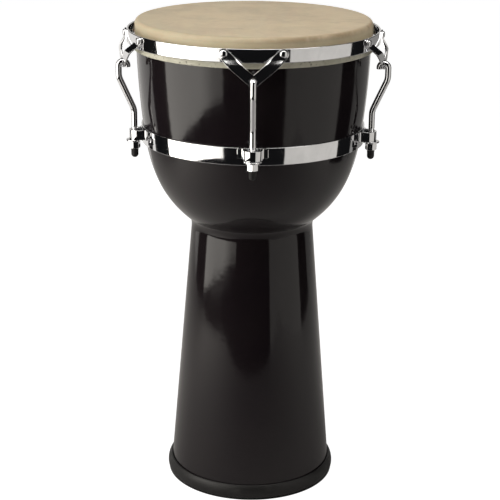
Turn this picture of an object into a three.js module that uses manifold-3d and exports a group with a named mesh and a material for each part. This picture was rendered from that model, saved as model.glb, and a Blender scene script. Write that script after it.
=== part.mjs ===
// A mechanically tuned djembe: a goblet shell with a natural hide head, which a chromed
// tension hoop and five J-hook tuning rods draw down over the bearing edge.
// Millimetres, +Z up. The origin is the centre of the foot's bottom, on the shell's axis.
// The first of the five lugs faces -Y, and the others follow counter-clockwise seen from above.
import * as THREE from 'three';
import { mergeVertices } from 'three/addons/utils/BufferGeometryUtils.js';
import Module from 'manifold-3d';

// ---------- driving dimensions ----------

const GAP = 0.3; // clearance between pieces that touch
const RING_SEGMENTS = 40; // facets round every ring, a multiple of the lugs
const LUG_COUNT = 5;
const FRONT = -Math.PI / 2; // direction of the first lug

// Shell: a straight flared pipe, a tight neck, a round bowl and a gently flared upper wall.
const SHELL_WALL = 7;
const PIPE_END_Z = 5; // the pipe's lower edge, on the foot ring's floor
const PIPE_TOP_Z = 360;
const PIPE_TOP_RADIUS = 83.4;
const PIPE_TAPER = 0.083; // radius gained per millimetre downwards
const NECK_CORNER = new THREE.Vector2(82.4, 372);
const BOWL_START = new THREE.Vector2(87.7, 376.5);
const BOWL_PULL_LOW = new THREE.Vector2(127.4, 408.9);
const BOWL_PULL_HIGH = new THREE.Vector2(140.9, 448.7);
const BOWL_END = new THREE.Vector2(148.1, 510);
const UPPER_WALL_PULL = new THREE.Vector2(155.7, 575);
const BEARING_EDGE_RADIUS = 155.7;
const BEARING_EDGE_ROUND = 5;

// Head.
const HEAD_PLANE_Z = 646; // playing surface
const SKIN_THICKNESS = 1.2;
const COLLAR_END_Z = 617;
const SHELL_TOP_Z = HEAD_PLANE_Z - SKIN_THICKNESS - GAP;

// Tension hoop: a flat band with an inner lip that presses on the flesh hoop.
const HOOP_RADIUS = 167.5;
const HOOP_THICKNESS = 2.5;
const HOOP_BOTTOM_Z = 616.6;
const HOOP_TOP_Z = 634.1;
const HOOP_LIP_RADIUS = 157.8;
const HOOP_FACET_SAG = HOOP_RADIUS * (1 - Math.cos(Math.PI / RING_SEGMENTS));

// Flesh hoop: the ring that the hide is lapped round.
const FLESH_OUTER_RADIUS = 160.4;
const FLESH_WIDTH = 4.4;
const FLESH_BOTTOM_Z = 607.9;
const FLESH_TOP_Z = HOOP_BOTTOM_Z - GAP;

// Belly band.
const BAND_THICKNESS = 2;
const BAND_BOTTOM_Z = 483.7;
const BAND_TOP_Z = 506.3;

// Foot ring: a rubber channel over the pipe's end.
const FOOT_HEIGHT = 19.5;
const FOOT_BOTTOM_RADIUS = 115.4;
const FOOT_BULGE_RADIUS = 118;
const FOOT_BULGE_Z = 7;
const FOOT_TOP_RADIUS = 114.8;
const FOOT_INNER_WALL = 2.8;
const FOOT_INNER_TOP_Z = 18;

// Side plates: a V of sheet steel, riveted to the hoop and joggled outwards below it.
const PLATE_THICKNESS = 2.2;
const PLATE_LEG_HALF_WIDTH = 6.5;
const PLATE_RIVET_REACH = 36.6; // from the lug's centre to a rivet, along the hoop
const RIVET_Z = 628;
const PLATE_TOE_Z = 595.5; // where the legs' centre lines meet
const PLATE_EYE_Z = 597.3;
const PLATE_EYE_RADIUS = 4.8;
const PLATE_JOGGLE_TOP_Z = 618;
const PLATE_JOGGLE_BOTTOM_Z = 608.5;
const PLATE_LOWER_RADIUS = 176.4; // inner face below the joggle
const PLATE_LEG_STEPS = 6;

// Rivets.
const RIVET_HEAD_RADIUS = 4.8;
const RIVET_HEAD_HEIGHT = 2.6;
const RIVET_SHANK_RADIUS = 2;
const RIVET_HOLE_RADIUS = 2.4;
const RIVET_TAIL_RADIUS = 3.4;
const RIVET_TAIL_HEIGHT = 1.4;

// Tuning rods: 8 mm bar, hooked through the side plate's eye and cranked inwards.
const ROD_RADIUS = 4;
const ROD_SIDES = 8;
const ROD_STEPS = 38;
const ROD_END_Z = 471.4;
const ROD_AXIS_RADIUS = 163.7; // the threaded leg's distance from the shell's axis
const HOOK_RADIUS = 5.8;
const HOOK_TOP_Z = 597;
const HOOK_TIP_Z = 590;
const CRANK_TOP_Z = 577;
const CRANK_BOTTOM_Z = 533;
const CRANK_ROUND = 9; // length of each bend's approach

// Lower lugs: a U of strip welded to the band, a washer, a nut and a rubber rod cap.
const STRAP_THICKNESS = 2.5;
const STRAP_RADIUS = 12.5;
const STRAP_OUTER_REACH = 170.5;
const STRAP_FOOT_HALF_SPAN = 20;
const STRAP_BOTTOM_Z = 493.5;
const STRAP_TOP_Z = 506.3;
const WASHER_RADIUS = 11;
const WASHER_THICKNESS = 2;
const NUT_ACROSS_FLATS = 13.5;
const NUT_HEIGHT = 9.6;
const THREAD_HOLE_RADIUS = 4.35;
const CAP_RADIUS = 5;
const CAP_BORE_RADIUS = 4.35;
const CAP_LENGTH = 12.6;
const CAP_FLOOR = 2.6;

// ---------- materials ----------

const FINISHES = {
  lacquer: { color: 0x0b0a0c, roughness: 0.12, metalness: 0 },
  hide: { color: 0xd9c9a6, roughness: 0.65, metalness: 0 },
  lappedHide: { color: 0xa9a48f, roughness: 0.75, metalness: 0 },
  chrome: { color: 0xd6d8dc, roughness: 0.08, metalness: 1 },
  rubber: { color: 0x141414, roughness: 0.8, metalness: 0 },
};

function piece(name, geometry, finish) {
  const mesh = new THREE.Mesh(geometry, new THREE.MeshStandardMaterial(FINISHES[finish]));
  mesh.name = name;
  return mesh;
}

// ---------- geometry helpers ----------

const wasm = await Module();
wasm.setup();

function solidOf(geometry) {
  const bare = geometry.clone();
  bare.deleteAttribute('normal');
  bare.deleteAttribute('uv');
  const merged = mergeVertices(bare, 1e-3);
  return new wasm.Manifold(new wasm.Mesh({
    numProp: 3,
    vertProperties: merged.attributes.position.array,
    triVerts: new Uint32Array(merged.index.array),
  }));
}

function geometryOf(solid) {
  const mesh = solid.getMesh();
  const geometry = new THREE.BufferGeometry();
  geometry.setAttribute('position', new THREE.BufferAttribute(mesh.vertProperties, 3));
  geometry.setIndex(new THREE.BufferAttribute(mesh.triVerts, 1));
  geometry.computeVertexNormals();
  return geometry;
}

// Turns a closed (radius, height) outline round the Z axis.
function revolve(outline, segments = RING_SEGMENTS) {
  const geometry = new THREE.LatheGeometry(outline, segments);
  geometry.rotateX(Math.PI / 2);
  return geometry;
}

function closed(outline) {
  return [...outline, outline[0].clone()];
}

function point(radius, height) {
  return new THREE.Vector2(radius, height);
}

// The same line moved sideways by a distance, towards the axis for a line that rises.
function offsetLine(points, distance) {
  return points.map((here, i) => {
    const before = points[Math.max(i - 1, 0)];
    const after = points[Math.min(i + 1, points.length - 1)];
    const along = after.clone().sub(before).normalize();
    return point(here.x - along.y * distance, here.y + along.x * distance);
  });
}

// Radius of a rising line of points at a height.
function radiusAt(points, height) {
  const above = points.findIndex((p) => p.y >= height);
  const high = points[Math.max(above, 1)];
  const low = points[Math.max(above, 1) - 1];
  return THREE.MathUtils.mapLinear(height, low.y, high.y, low.x, high.x);
}

// ---------- shell, foot and band ----------

function pipeRadius(z) {
  return PIPE_TOP_RADIUS + (PIPE_TOP_Z - z) * PIPE_TAPER;
}

function shellOutside() {
  const pipeTop = point(PIPE_TOP_RADIUS, PIPE_TOP_Z);
  const edgeStart = point(BEARING_EDGE_RADIUS, SHELL_TOP_Z - BEARING_EDGE_ROUND);
  const neck = new THREE.QuadraticBezierCurve(pipeTop, NECK_CORNER, BOWL_START);
  const bowl = new THREE.CubicBezierCurve(BOWL_START, BOWL_PULL_LOW, BOWL_PULL_HIGH, BOWL_END);
  const upperWall = new THREE.QuadraticBezierCurve(BOWL_END, UPPER_WALL_PULL, edgeStart);
  return [
    point(pipeRadius(PIPE_END_Z), PIPE_END_Z),
    ...neck.getPoints(3),
    ...bowl.getPoints(8).slice(1),
    ...upperWall.getPoints(4).slice(1),
  ];
}

const OUTSIDE = shellOutside();

// The rounded bearing edge, from the outer wall up to its crest.
function bearingEdge(grow) {
  const round = BEARING_EDGE_ROUND;
  const crest = point(BEARING_EDGE_RADIUS - round, SHELL_TOP_Z + grow);
  const corner = point(BEARING_EDGE_RADIUS + grow, SHELL_TOP_Z + grow);
  const start = point(BEARING_EDGE_RADIUS + grow, SHELL_TOP_Z - round);
  return new THREE.QuadraticBezierCurve(start, corner, crest).getPoints(3);
}

function shellGeometry() {
  const inside = offsetLine(OUTSIDE, SHELL_WALL);
  inside[0].y = PIPE_END_Z;
  const rim = point(BEARING_EDGE_RADIUS - SHELL_WALL, SHELL_TOP_Z - 1);
  return revolve(closed([...OUTSIDE.slice(0, -1), ...bearingEdge(0), rim, ...inside.reverse()]));
}

function footRingGeometry() {
  const pipeInner = (z) => pipeRadius(z) - SHELL_WALL - GAP;
  const bore = pipeInner(0) - FOOT_INNER_WALL;
  const side = new THREE.SplineCurve([
    point(FOOT_BOTTOM_RADIUS, 0),
    point(FOOT_BULGE_RADIUS, FOOT_BULGE_Z),
    point(FOOT_TOP_RADIUS, FOOT_HEIGHT),
  ]);
  return revolve(closed([
    ...side.getPoints(5),
    point(pipeRadius(FOOT_HEIGHT) + GAP, FOOT_HEIGHT),
    point(pipeRadius(PIPE_END_Z) + GAP, PIPE_END_Z - GAP),
    point(pipeInner(PIPE_END_Z) - GAP, PIPE_END_Z - GAP),
    point(pipeInner(FOOT_INNER_TOP_Z) - GAP, FOOT_INNER_TOP_Z),
    point(bore, FOOT_INNER_TOP_Z),
    point(bore, 0),
  ]));
}

// The band is a plain cylinder, and its top edge grips the shell's taper.
const BAND_RADIUS = radiusAt(OUTSIDE, BAND_TOP_Z) + GAP + BAND_THICKNESS;

function bellyBandGeometry() {
  const inner = BAND_RADIUS - BAND_THICKNESS;
  return revolve(closed([
    point(inner, BAND_BOTTOM_Z),
    point(BAND_RADIUS, BAND_BOTTOM_Z),
    point(BAND_RADIUS, BAND_TOP_Z),
    point(inner, BAND_TOP_Z),
  ]));
}

// ---------- head and hoops ----------

function drumSkinGeometry() {
  const under = GAP;
  const over = GAP + SKIN_THICKNESS;
  const collarRadius = radiusAt(OUTSIDE, COLLAR_END_Z);
  return revolve([
    point(0, SHELL_TOP_Z + under),
    ...bearingEdge(under).reverse(),
    point(collarRadius + under, COLLAR_END_Z),
    point(collarRadius + over, COLLAR_END_Z),
    ...bearingEdge(over),
    point(0, SHELL_TOP_Z + over),
  ]);
}

function fleshHoopGeometry() {
  const round = FLESH_WIDTH / 2;
  const axis = FLESH_OUTER_RADIUS - round;
  const outline = new THREE.Path();
  outline.absarc(axis, FLESH_TOP_Z - round, round, 0, Math.PI);
  outline.absarc(axis, FLESH_BOTTOM_Z + round, round, Math.PI, 2 * Math.PI);
  return revolve(closed(outline.getPoints(2)));
}

function rivetAngles(lugAngle) {
  const swing = PLATE_RIVET_REACH / (HOOP_RADIUS + GAP);
  return [lugAngle - swing, lugAngle + swing];
}

// A cylinder that lies along the radial direction, to bore a rivet's hole.
function radialBore(angle, height, holeRadius) {
  const cutter = new THREE.CylinderGeometry(holeRadius, holeRadius, 30, 10);
  cutter.rotateZ(-Math.PI / 2);
  cutter.translate(HOOP_RADIUS, 0, height);
  cutter.rotateZ(angle);
  return solidOf(cutter);
}

function tensionHoopGeometry(lugAngles) {
  const inner = HOOP_RADIUS - HOOP_THICKNESS;
  const lipTop = HOOP_BOTTOM_Z + HOOP_THICKNESS;
  let hoop = solidOf(revolve(closed([
    point(HOOP_LIP_RADIUS, HOOP_BOTTOM_Z),
    point(HOOP_RADIUS, HOOP_BOTTOM_Z),
    point(HOOP_RADIUS, HOOP_TOP_Z),
    point(inner, HOOP_TOP_Z),
    point(inner, lipTop),
    point(HOOP_LIP_RADIUS, lipTop),
  ])));
  for (const angle of lugAngles.flatMap(rivetAngles)) {
    hoop = hoop.subtract(radialBore(angle, RIVET_Z, RIVET_HOLE_RADIUS));
  }
  return geometryOf(hoop);
}

// ---------- side plates and rivets, about a lug at angle 0 ----------

// Inner face of the plate's sheet: flat on the hoop above, stepped outwards below it.
function plateRadius(z) {
  const drop = THREE.MathUtils.smoothstep(-z, -PLATE_JOGGLE_TOP_Z, -PLATE_JOGGLE_BOTTOM_Z);
  return THREE.MathUtils.lerp(HOOP_RADIUS + GAP, PLATE_LOWER_RADIUS, drop);
}

// Pairs of points across the V's right leg in the unrolled sheet, from the toe to the rounded
// end past the rivet: x is along the hoop, y is height.
function plateEdgePairs() {
  const toe = point(0, PLATE_TOE_Z);
  const rivet = point(PLATE_RIVET_REACH, RIVET_Z);
  const length = toe.distanceTo(rivet);
  const along = rivet.clone().sub(toe).normalize();
  const upwards = point(-along.y, along.x);
  const half = PLATE_LEG_HALF_WIDTH;
  const pair = (outerReach, innerReach, halfWidth) => [
    toe.clone().addScaledVector(along, outerReach).addScaledVector(upwards, -halfWidth),
    toe.clone().addScaledVector(along, innerReach).addScaledVector(upwards, halfWidth),
  ];
  const crotchReach = (half * along.y) / along.x;
  const pairs = [[point(0, PLATE_TOE_Z - half), point(0, PLATE_TOE_Z + half / along.x)]];
  for (let i = 0; i <= PLATE_LEG_STEPS; i += 1) {
    const innerShare = (i + 1) / (PLATE_LEG_STEPS + 1);
    const innerReach = THREE.MathUtils.lerp(crotchReach, length, innerShare);
    pairs.push(pair((length * i) / PLATE_LEG_STEPS, innerReach, half));
  }
  for (const turn of [0.45, 0.9, 1.25]) {
    const reach = length + half * Math.sin(turn);
    pairs.push(pair(reach, reach, half * Math.cos(turn)));
  }
  return pairs;
}

// A flat strip with a grid of facets, bent into the V, curved round the hoop and joggled.
function sidePlateGeometry() {
  const pairs = plateEdgePairs();
  const steps = pairs.length - 1;
  const geometry = new THREE.BoxGeometry(2 * steps, 1, PLATE_THICKNESS, 2 * steps, 2, 1);
  const position = geometry.attributes.position;
  for (let i = 0; i < position.count; i += 1) {
    const station = Math.round(position.getX(i));
    const [outer, inner] = pairs[Math.abs(station)];
    const place = outer.clone().lerp(inner, position.getY(i) + 0.5);
    const angle = (Math.sign(station) * place.x) / (HOOP_RADIUS + GAP);
    const radius = plateRadius(place.y) + position.getZ(i) + PLATE_THICKNESS / 2;
    position.setXYZ(i, radius * Math.cos(angle), radius * Math.sin(angle), place.y);
  }
  let plate = solidOf(geometry).subtract(radialBore(0, PLATE_EYE_Z, PLATE_EYE_RADIUS));
  for (const swing of rivetAngles(0)) {
    plate = plate.subtract(radialBore(swing, RIVET_Z, RIVET_HOLE_RADIUS));
  }
  return geometryOf(plate);
}

function rivetGeometry() {
  const plateFace = HOOP_RADIUS + 2 * GAP + PLATE_THICKNESS;
  const tailFace = HOOP_RADIUS - HOOP_THICKNESS - HOOP_FACET_SAG - GAP;
  const geometry = new THREE.LatheGeometry([
    point(0, tailFace - RIVET_TAIL_HEIGHT),
    point(RIVET_TAIL_RADIUS, tailFace - RIVET_TAIL_HEIGHT / 2),
    point(RIVET_TAIL_RADIUS, tailFace),
    point(RIVET_SHANK_RADIUS, tailFace),
    point(RIVET_SHANK_RADIUS, plateFace),
    point(RIVET_HEAD_RADIUS, plateFace),
    point(RIVET_HEAD_RADIUS * 0.75, plateFace + RIVET_HEAD_HEIGHT * 0.7),
    point(0, plateFace + RIVET_HEAD_HEIGHT),
  ], 8);
  geometry.rotateZ(-Math.PI / 2);
  geometry.translate(0, 0, RIVET_Z);
  return geometry;
}

// ---------- rods and lower lugs, about a lug at angle 0 ----------

// Centre line of a rod in its radial plane, from the hook's tip to the threaded end.
function rodCentreLine() {
  const outerLeg = PLATE_LOWER_RADIUS + PLATE_THICKNESS / 2 + HOOK_RADIUS;
  const innerLeg = outerLeg - 2 * HOOK_RADIUS;
  const hookZ = HOOK_TOP_Z - HOOK_RADIUS;
  const at = (radius, z) => new THREE.Vector3(radius, 0, z);
  const slant = at(ROD_AXIS_RADIUS - outerLeg, CRANK_BOTTOM_Z - CRANK_TOP_Z).setLength(CRANK_ROUND);
  const crankTop = at(outerLeg, CRANK_TOP_Z);
  const crankBottom = at(ROD_AXIS_RADIUS, CRANK_BOTTOM_Z);
  const slantStart = crankTop.clone().add(slant);
  const slantEnd = crankBottom.clone().sub(slant);
  const hookReach = (4 / 3) * HOOK_RADIUS * Math.tan(Math.PI / 8);
  const path = new THREE.CurvePath();
  path.add(new THREE.LineCurve3(at(innerLeg, HOOK_TIP_Z), at(innerLeg, hookZ)));
  path.add(new THREE.CubicBezierCurve3(
    at(innerLeg, hookZ),
    at(innerLeg, hookZ + hookReach),
    at(innerLeg + HOOK_RADIUS - hookReach, HOOK_TOP_Z),
    at(innerLeg + HOOK_RADIUS, HOOK_TOP_Z),
  ));
  path.add(new THREE.CubicBezierCurve3(
    at(innerLeg + HOOK_RADIUS, HOOK_TOP_Z),
    at(outerLeg - HOOK_RADIUS + hookReach, HOOK_TOP_Z),
    at(outerLeg, hookZ + hookReach),
    at(outerLeg, hookZ),
  ));
  path.add(new THREE.LineCurve3(at(outerLeg, hookZ), at(outerLeg, CRANK_TOP_Z + CRANK_ROUND)));
  path.add(new THREE.QuadraticBezierCurve3(
    at(outerLeg, CRANK_TOP_Z + CRANK_ROUND),
    crankTop,
    slantStart,
  ));
  path.add(new THREE.LineCurve3(slantStart, slantEnd));
  path.add(new THREE.QuadraticBezierCurve3(
    slantEnd,
    crankBottom,
    at(ROD_AXIS_RADIUS, CRANK_BOTTOM_Z - CRANK_ROUND),
  ));
  path.add(new THREE.LineCurve3(
    at(ROD_AXIS_RADIUS, CRANK_BOTTOM_Z - CRANK_ROUND),
    at(ROD_AXIS_RADIUS, ROD_END_Z),
  ));
  return path;
}

function rodGeometry() {
  const section = new THREE.Shape();
  for (let side = 0; side < ROD_SIDES; side += 1) {
    const turn = (2 * Math.PI * side) / ROD_SIDES;
    const corner = point(ROD_RADIUS, 0).rotateAround(point(0, 0), turn);
    if (side === 0) section.moveTo(corner.x, corner.y);
    else section.lineTo(corner.x, corner.y);
  }
  section.closePath();
  return new THREE.ExtrudeGeometry(section, {
    steps: ROD_STEPS,
    extrudePath: rodCentreLine(),
    bevelEnabled: false,
  });
}

// Plan of the strap: x is the distance from the shell's axis, y is across the lug.
function strapOutline(footRadius) {
  const centre = STRAP_OUTER_REACH - STRAP_RADIUS;
  const innerHalf = STRAP_RADIUS - STRAP_THICKNESS;
  const footSteps = 3;
  const onCircle = (radius, y) => point(Math.sqrt(radius * radius - y * y), y);
  const foot = (radius, fromY, toY) => Array.from({ length: footSteps + 1 }, (_, i) => (
    onCircle(radius, THREE.MathUtils.lerp(fromY, toY, i / footSteps))
  ));
  const bend = (radius, fromAngle, toAngle) => {
    const arc = new THREE.EllipseCurve(
      centre,
      0,
      radius,
      radius,
      fromAngle,
      toAngle,
      toAngle < fromAngle,
    );
    return arc.getPoints(10);
  };
  const quarter = Math.PI / 2;
  return new THREE.Shape([
    ...foot(footRadius, -STRAP_FOOT_HALF_SPAN, -innerHalf).reverse(),
    ...foot(footRadius + STRAP_THICKNESS, -STRAP_FOOT_HALF_SPAN, -STRAP_RADIUS),
    ...bend(STRAP_RADIUS, -quarter, quarter),
    ...foot(footRadius + STRAP_THICKNESS, STRAP_RADIUS, STRAP_FOOT_HALF_SPAN),
    ...foot(footRadius, innerHalf, STRAP_FOOT_HALF_SPAN).reverse(),
    ...bend(innerHalf, quarter, -quarter),
  ]);
}

function strapGeometry() {
  const geometry = new THREE.ExtrudeGeometry(strapOutline(BAND_RADIUS + GAP), {
    depth: STRAP_TOP_Z - STRAP_BOTTOM_Z,
    bevelEnabled: false,
  });
  geometry.translate(0, 0, STRAP_BOTTOM_Z);
  return geometry;
}

function washerGeometry() {
  const top = STRAP_BOTTOM_Z - GAP;
  const bottom = top - WASHER_THICKNESS;
  return revolve(closed([
    point(THREAD_HOLE_RADIUS, bottom),
    point(WASHER_RADIUS, bottom),
    point(WASHER_RADIUS, top),
    point(THREAD_HOLE_RADIUS, top),
  ]), 16);
}

const NUT_TOP_Z = STRAP_BOTTOM_Z - WASHER_THICKNESS - 2 * GAP;
const NUT_BOTTOM_Z = NUT_TOP_Z - NUT_HEIGHT;

function nutGeometry() {
  const corner = NUT_ACROSS_FLATS / 2 / Math.cos(Math.PI / 6);
  const outline = new THREE.Shape(Array.from({ length: 6 }, (_, i) => (
    point(corner, 0).rotateAround(point(0, 0), (i * Math.PI) / 3)
  )));
  const bore = new THREE.Path();
  bore.absarc(0, 0, THREAD_HOLE_RADIUS, 0, 2 * Math.PI, true);
  outline.holes.push(bore);
  const geometry = new THREE.ExtrudeGeometry(outline, {
    depth: NUT_HEIGHT,
    bevelEnabled: false,
    curveSegments: 8,
  });
  geometry.translate(0, 0, NUT_BOTTOM_Z);
  return geometry;
}

function rodCapGeometry() {
  const top = NUT_BOTTOM_Z - GAP;
  const bottom = top - CAP_LENGTH;
  const dome = new THREE.EllipseCurve(0, bottom + CAP_RADIUS, CAP_RADIUS, CAP_RADIUS, -Math.PI / 2, 0);
  return revolve([
    ...dome.getPoints(3),
    point(CAP_RADIUS, top),
    point(CAP_BORE_RADIUS, top),
    point(CAP_BORE_RADIUS, bottom + CAP_FLOOR),
    point(0, bottom + CAP_FLOOR),
  ], 12);
}

// ---------- assembly ----------

function lug(number, angle) {
  const lugGroup = new THREE.Group();
  lugGroup.rotation.z = angle;
  lugGroup.add(piece(`side_plate_${number}`, sidePlateGeometry(), 'chrome'));
  lugGroup.add(piece(`tuning_rod_${number}`, rodGeometry(), 'chrome'));
  lugGroup.add(piece(`lug_strap_${number}`, strapGeometry(), 'chrome'));
  rivetAngles(0).forEach((swing, i) => {
    const rivet = piece(`plate_rivet_${number}${'ab'[i]}`, rivetGeometry(), 'chrome');
    rivet.rotation.z = swing;
    lugGroup.add(rivet);
  });
  const rodAxis = new THREE.Group();
  rodAxis.position.x = ROD_AXIS_RADIUS;
  rodAxis.add(piece(`lug_washer_${number}`, washerGeometry(), 'chrome'));
  rodAxis.add(piece(`tuning_nut_${number}`, nutGeometry(), 'chrome'));
  rodAxis.add(piece(`rod_cap_${number}`, rodCapGeometry(), 'rubber'));
  lugGroup.add(rodAxis);
  return lugGroup;
}

const lugAngles = Array.from({ length: LUG_COUNT }, (_, i) => FRONT + (i * 2 * Math.PI) / LUG_COUNT);

const djembe = new THREE.Group();
djembe.add(piece('shell', shellGeometry(), 'lacquer'));
djembe.add(piece('foot_ring', footRingGeometry(), 'rubber'));
djembe.add(piece('belly_band', bellyBandGeometry(), 'chrome'));
djembe.add(piece('drum_skin', drumSkinGeometry(), 'hide'));
djembe.add(piece('flesh_hoop', fleshHoopGeometry(), 'lappedHide'));
djembe.add(piece('tension_hoop', tensionHoopGeometry(lugAngles), 'chrome'));
lugAngles.forEach((angle, i) => djembe.add(lug(i + 1, angle)));

export default djembe;
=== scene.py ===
"""The looks of a mechanically tuned djembe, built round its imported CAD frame.

A goblet shell in gloss black lacquer, a natural hide head lapped round a flesh hoop, and
chromed tuning hardware: hoop, V plates, hooked rods, straps on a belly band, washers and nuts.
Metres, +Z up. The first of the five lugs faces -Y.
"""

import math

import bmesh
import bpy
from mathutils import Matrix, Vector, noise


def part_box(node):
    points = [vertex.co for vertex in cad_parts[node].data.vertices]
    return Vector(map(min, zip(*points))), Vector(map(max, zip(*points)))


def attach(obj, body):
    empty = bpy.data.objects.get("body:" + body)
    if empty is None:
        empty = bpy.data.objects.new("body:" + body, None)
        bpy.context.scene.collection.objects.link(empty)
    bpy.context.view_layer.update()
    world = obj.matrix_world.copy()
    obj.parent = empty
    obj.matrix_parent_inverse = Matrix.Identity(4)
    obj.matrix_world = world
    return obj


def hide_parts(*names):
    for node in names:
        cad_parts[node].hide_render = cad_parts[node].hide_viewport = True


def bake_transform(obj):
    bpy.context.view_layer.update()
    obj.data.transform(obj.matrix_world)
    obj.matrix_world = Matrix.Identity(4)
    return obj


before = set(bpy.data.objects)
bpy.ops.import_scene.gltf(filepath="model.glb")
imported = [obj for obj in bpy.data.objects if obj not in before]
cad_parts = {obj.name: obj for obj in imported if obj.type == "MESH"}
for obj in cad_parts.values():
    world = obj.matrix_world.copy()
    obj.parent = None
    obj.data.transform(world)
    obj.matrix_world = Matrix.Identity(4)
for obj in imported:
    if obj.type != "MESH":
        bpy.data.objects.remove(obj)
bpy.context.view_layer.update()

MM = 0.001
QUARTER = math.pi / 2
FULL_TURN = 2 * math.pi
SAME_POINT = 1e-7  # points nearer than this are one

# ---------- driving dimensions, the same as the CAD part's ----------

GAP = 0.3 * MM
LUG_COUNT = 5
FRONT = -QUARTER  # the first lug's direction

# Points of an outline are (radius, height).
SHELL_WALL = 7 * MM
PIPE_END_Z = 5 * MM
PIPE_TOP = (83.4 * MM, 360 * MM)
PIPE_TAPER = 0.083  # radius gained for each unit of height downwards
NECK_CORNER = (82.4 * MM, 372 * MM)
BOWL_START = (87.7 * MM, 376.5 * MM)
BOWL_PULL_LOW = (127.4 * MM, 408.9 * MM)
BOWL_PULL_HIGH = (140.9 * MM, 448.7 * MM)
BOWL_END = (148.1 * MM, 510 * MM)
UPPER_WALL_PULL = (155.7 * MM, 575 * MM)
BEARING_EDGE_RADIUS = 155.7 * MM
BEARING_EDGE_ROUND = 5 * MM
SKIN_THICKNESS = 1.2 * MM

HOOP_THICKNESS = 2.5 * MM
HOOP_LIP_RADIUS = 157.8 * MM
BAND_THICKNESS = 2 * MM

FOOT_BOTTOM_RADIUS = 115.4 * MM
FOOT_BULGE = (118 * MM, 7 * MM)
FOOT_TOP_RADIUS = 114.8 * MM
FOOT_INNER_WALL = 2.8 * MM
FOOT_INNER_TOP_Z = 18 * MM

PLATE_THICKNESS = 2.2 * MM
PLATE_LEG_HALF_WIDTH = 6.5 * MM
PLATE_RIVET_REACH = 36.6 * MM
RIVET_Z = 628 * MM
PLATE_TOE_Z = 595.5 * MM
PLATE_EYE_Z = 597.3 * MM
PLATE_EYE_RADIUS = 4.8 * MM
PLATE_LOWER_RADIUS = 176.4 * MM

RIVET_HEAD_RADIUS = 4.8 * MM
RIVET_HEAD_HEIGHT = 2.6 * MM
RIVET_SHANK_RADIUS = 2 * MM
RIVET_HOLE_RADIUS = 2.4 * MM
RIVET_TAIL_RADIUS = 3.4 * MM
RIVET_TAIL_HEIGHT = 1.4 * MM

ROD_RADIUS = 4 * MM
ROD_AXIS_RADIUS = 163.7 * MM
HOOK_RADIUS = 5.8 * MM
HOOK_TOP_Z = 597 * MM
HOOK_TIP_LENGTH = 1.2 * MM
CRANK_TOP_Z = 577 * MM
CRANK_BOTTOM_Z = 533 * MM

STRAP_THICKNESS = 2.5 * MM
STRAP_RADIUS = 12.5 * MM
STRAP_FOOT_HALF_SPAN = 20 * MM
NUT_ACROSS_FLATS = 13.5 * MM
BORE_RADIUS = 4.35 * MM
CAP_FLOOR = 2.6 * MM

# ---------- finer visual detail ----------

PLATE_JOGGLE_TOP_Z = 624.3 * MM  # higher than the CAD's joggle
PLATE_JOGGLE_BOTTOM_Z = 612.5 * MM
PLATE_JOGGLE_ROUND = 2.4 * MM
CRANK_BEND_RADIUS = 22 * MM
THREAD_TOP_Z = 512 * MM
THREAD_PITCH = 1.25 * MM
THREAD_DEPTH = 0.62 * MM
THREAD_RUN_OUT = (0.6 * MM, 3 * MM)  # the thread starts and is full this far below its top
STRAP_FILLET = 3.2 * MM
ROUND_SEGMENTS = 240
SHARP_DEGREES = 35  # edges that turn more than this stay sharp

# ---------- heights and radii read from the frame ----------

COLLAR_END_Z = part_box("drum_skin")[0].z
SHELL_TOP_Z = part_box("shell")[1].z
HOOP_LOW, HOOP_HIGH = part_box("tension_hoop")
HOOP_RADIUS = HOOP_HIGH.x
FLESH_LOW, FLESH_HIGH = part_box("flesh_hoop")
BAND_LOW, BAND_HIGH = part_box("belly_band")
BAND_RADIUS = BAND_HIGH.x
FOOT_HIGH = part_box("foot_ring")[1]
STRAP_LOW, STRAP_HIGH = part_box("lug_strap_1")
STRAP_REACH = -STRAP_LOW.y  # the first lug faces -Y
WASHER_LOW, WASHER_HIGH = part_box("lug_washer_1")
NUT_LOW, NUT_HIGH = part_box("tuning_nut_1")
CAP_LOW, CAP_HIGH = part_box("rod_cap_1")
ROD_END_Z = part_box("tuning_rod_1")[0].z
PLATE_FACE_RADIUS = HOOP_RADIUS + GAP
RIVET_SWING = PLATE_RIVET_REACH / PLATE_FACE_RADIUS  # a rivet's angle from its lug


# ---------- outlines ----------


def bezier(points, steps):
    """Points of a Bezier curve of any degree, its first point left out."""
    degree = len(points) - 1
    line = []
    for i in range(1, steps + 1):
        t = i / steps
        shares = [math.comb(degree, k) * t**k * (1 - t) ** (degree - k) for k in range(degree + 1)]
        line.append(tuple(sum(s * p[axis] for s, p in zip(shares, points)) for axis in (0, 1)))
    return line


def arc(centre, radius, start, end, steps):
    """Points of a circular arc, both ends included, angles in radians."""
    turns = [start + (end - start) * i / steps for i in range(steps + 1)]
    return [(centre[0] + radius * math.cos(t), centre[1] + radius * math.sin(t)) for t in turns]


def rounded(corners, steps=4):
    """A closed outline from (x, y, fillet radius) corners."""
    longest = 0.49  # share of a side that one fillet may take
    outline = []
    for i, (x, y, radius) in enumerate(corners):
        here = Vector((x, y))
        back = Vector(corners[i - 1][:2]) - here
        ahead = Vector(corners[(i + 1) % len(corners)][:2]) - here
        if radius <= 0:
            outline.append((x, y))
            continue
        half = back.angle(ahead) / 2
        reach = min(radius / math.tan(half), longest * back.length, longest * ahead.length)
        start = here + back.normalized() * reach
        end = here + ahead.normalized() * reach
        inwards = (back.normalized() + ahead.normalized()).normalized()
        centre = here + inwards * (reach / math.cos(half))
        span = reach * math.tan(half)
        for k in range(steps + 1):
            spoke = start.lerp(end, k / steps) - centre
            outline.append(tuple(centre + spoke.normalized() * span))
    return outline


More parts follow.
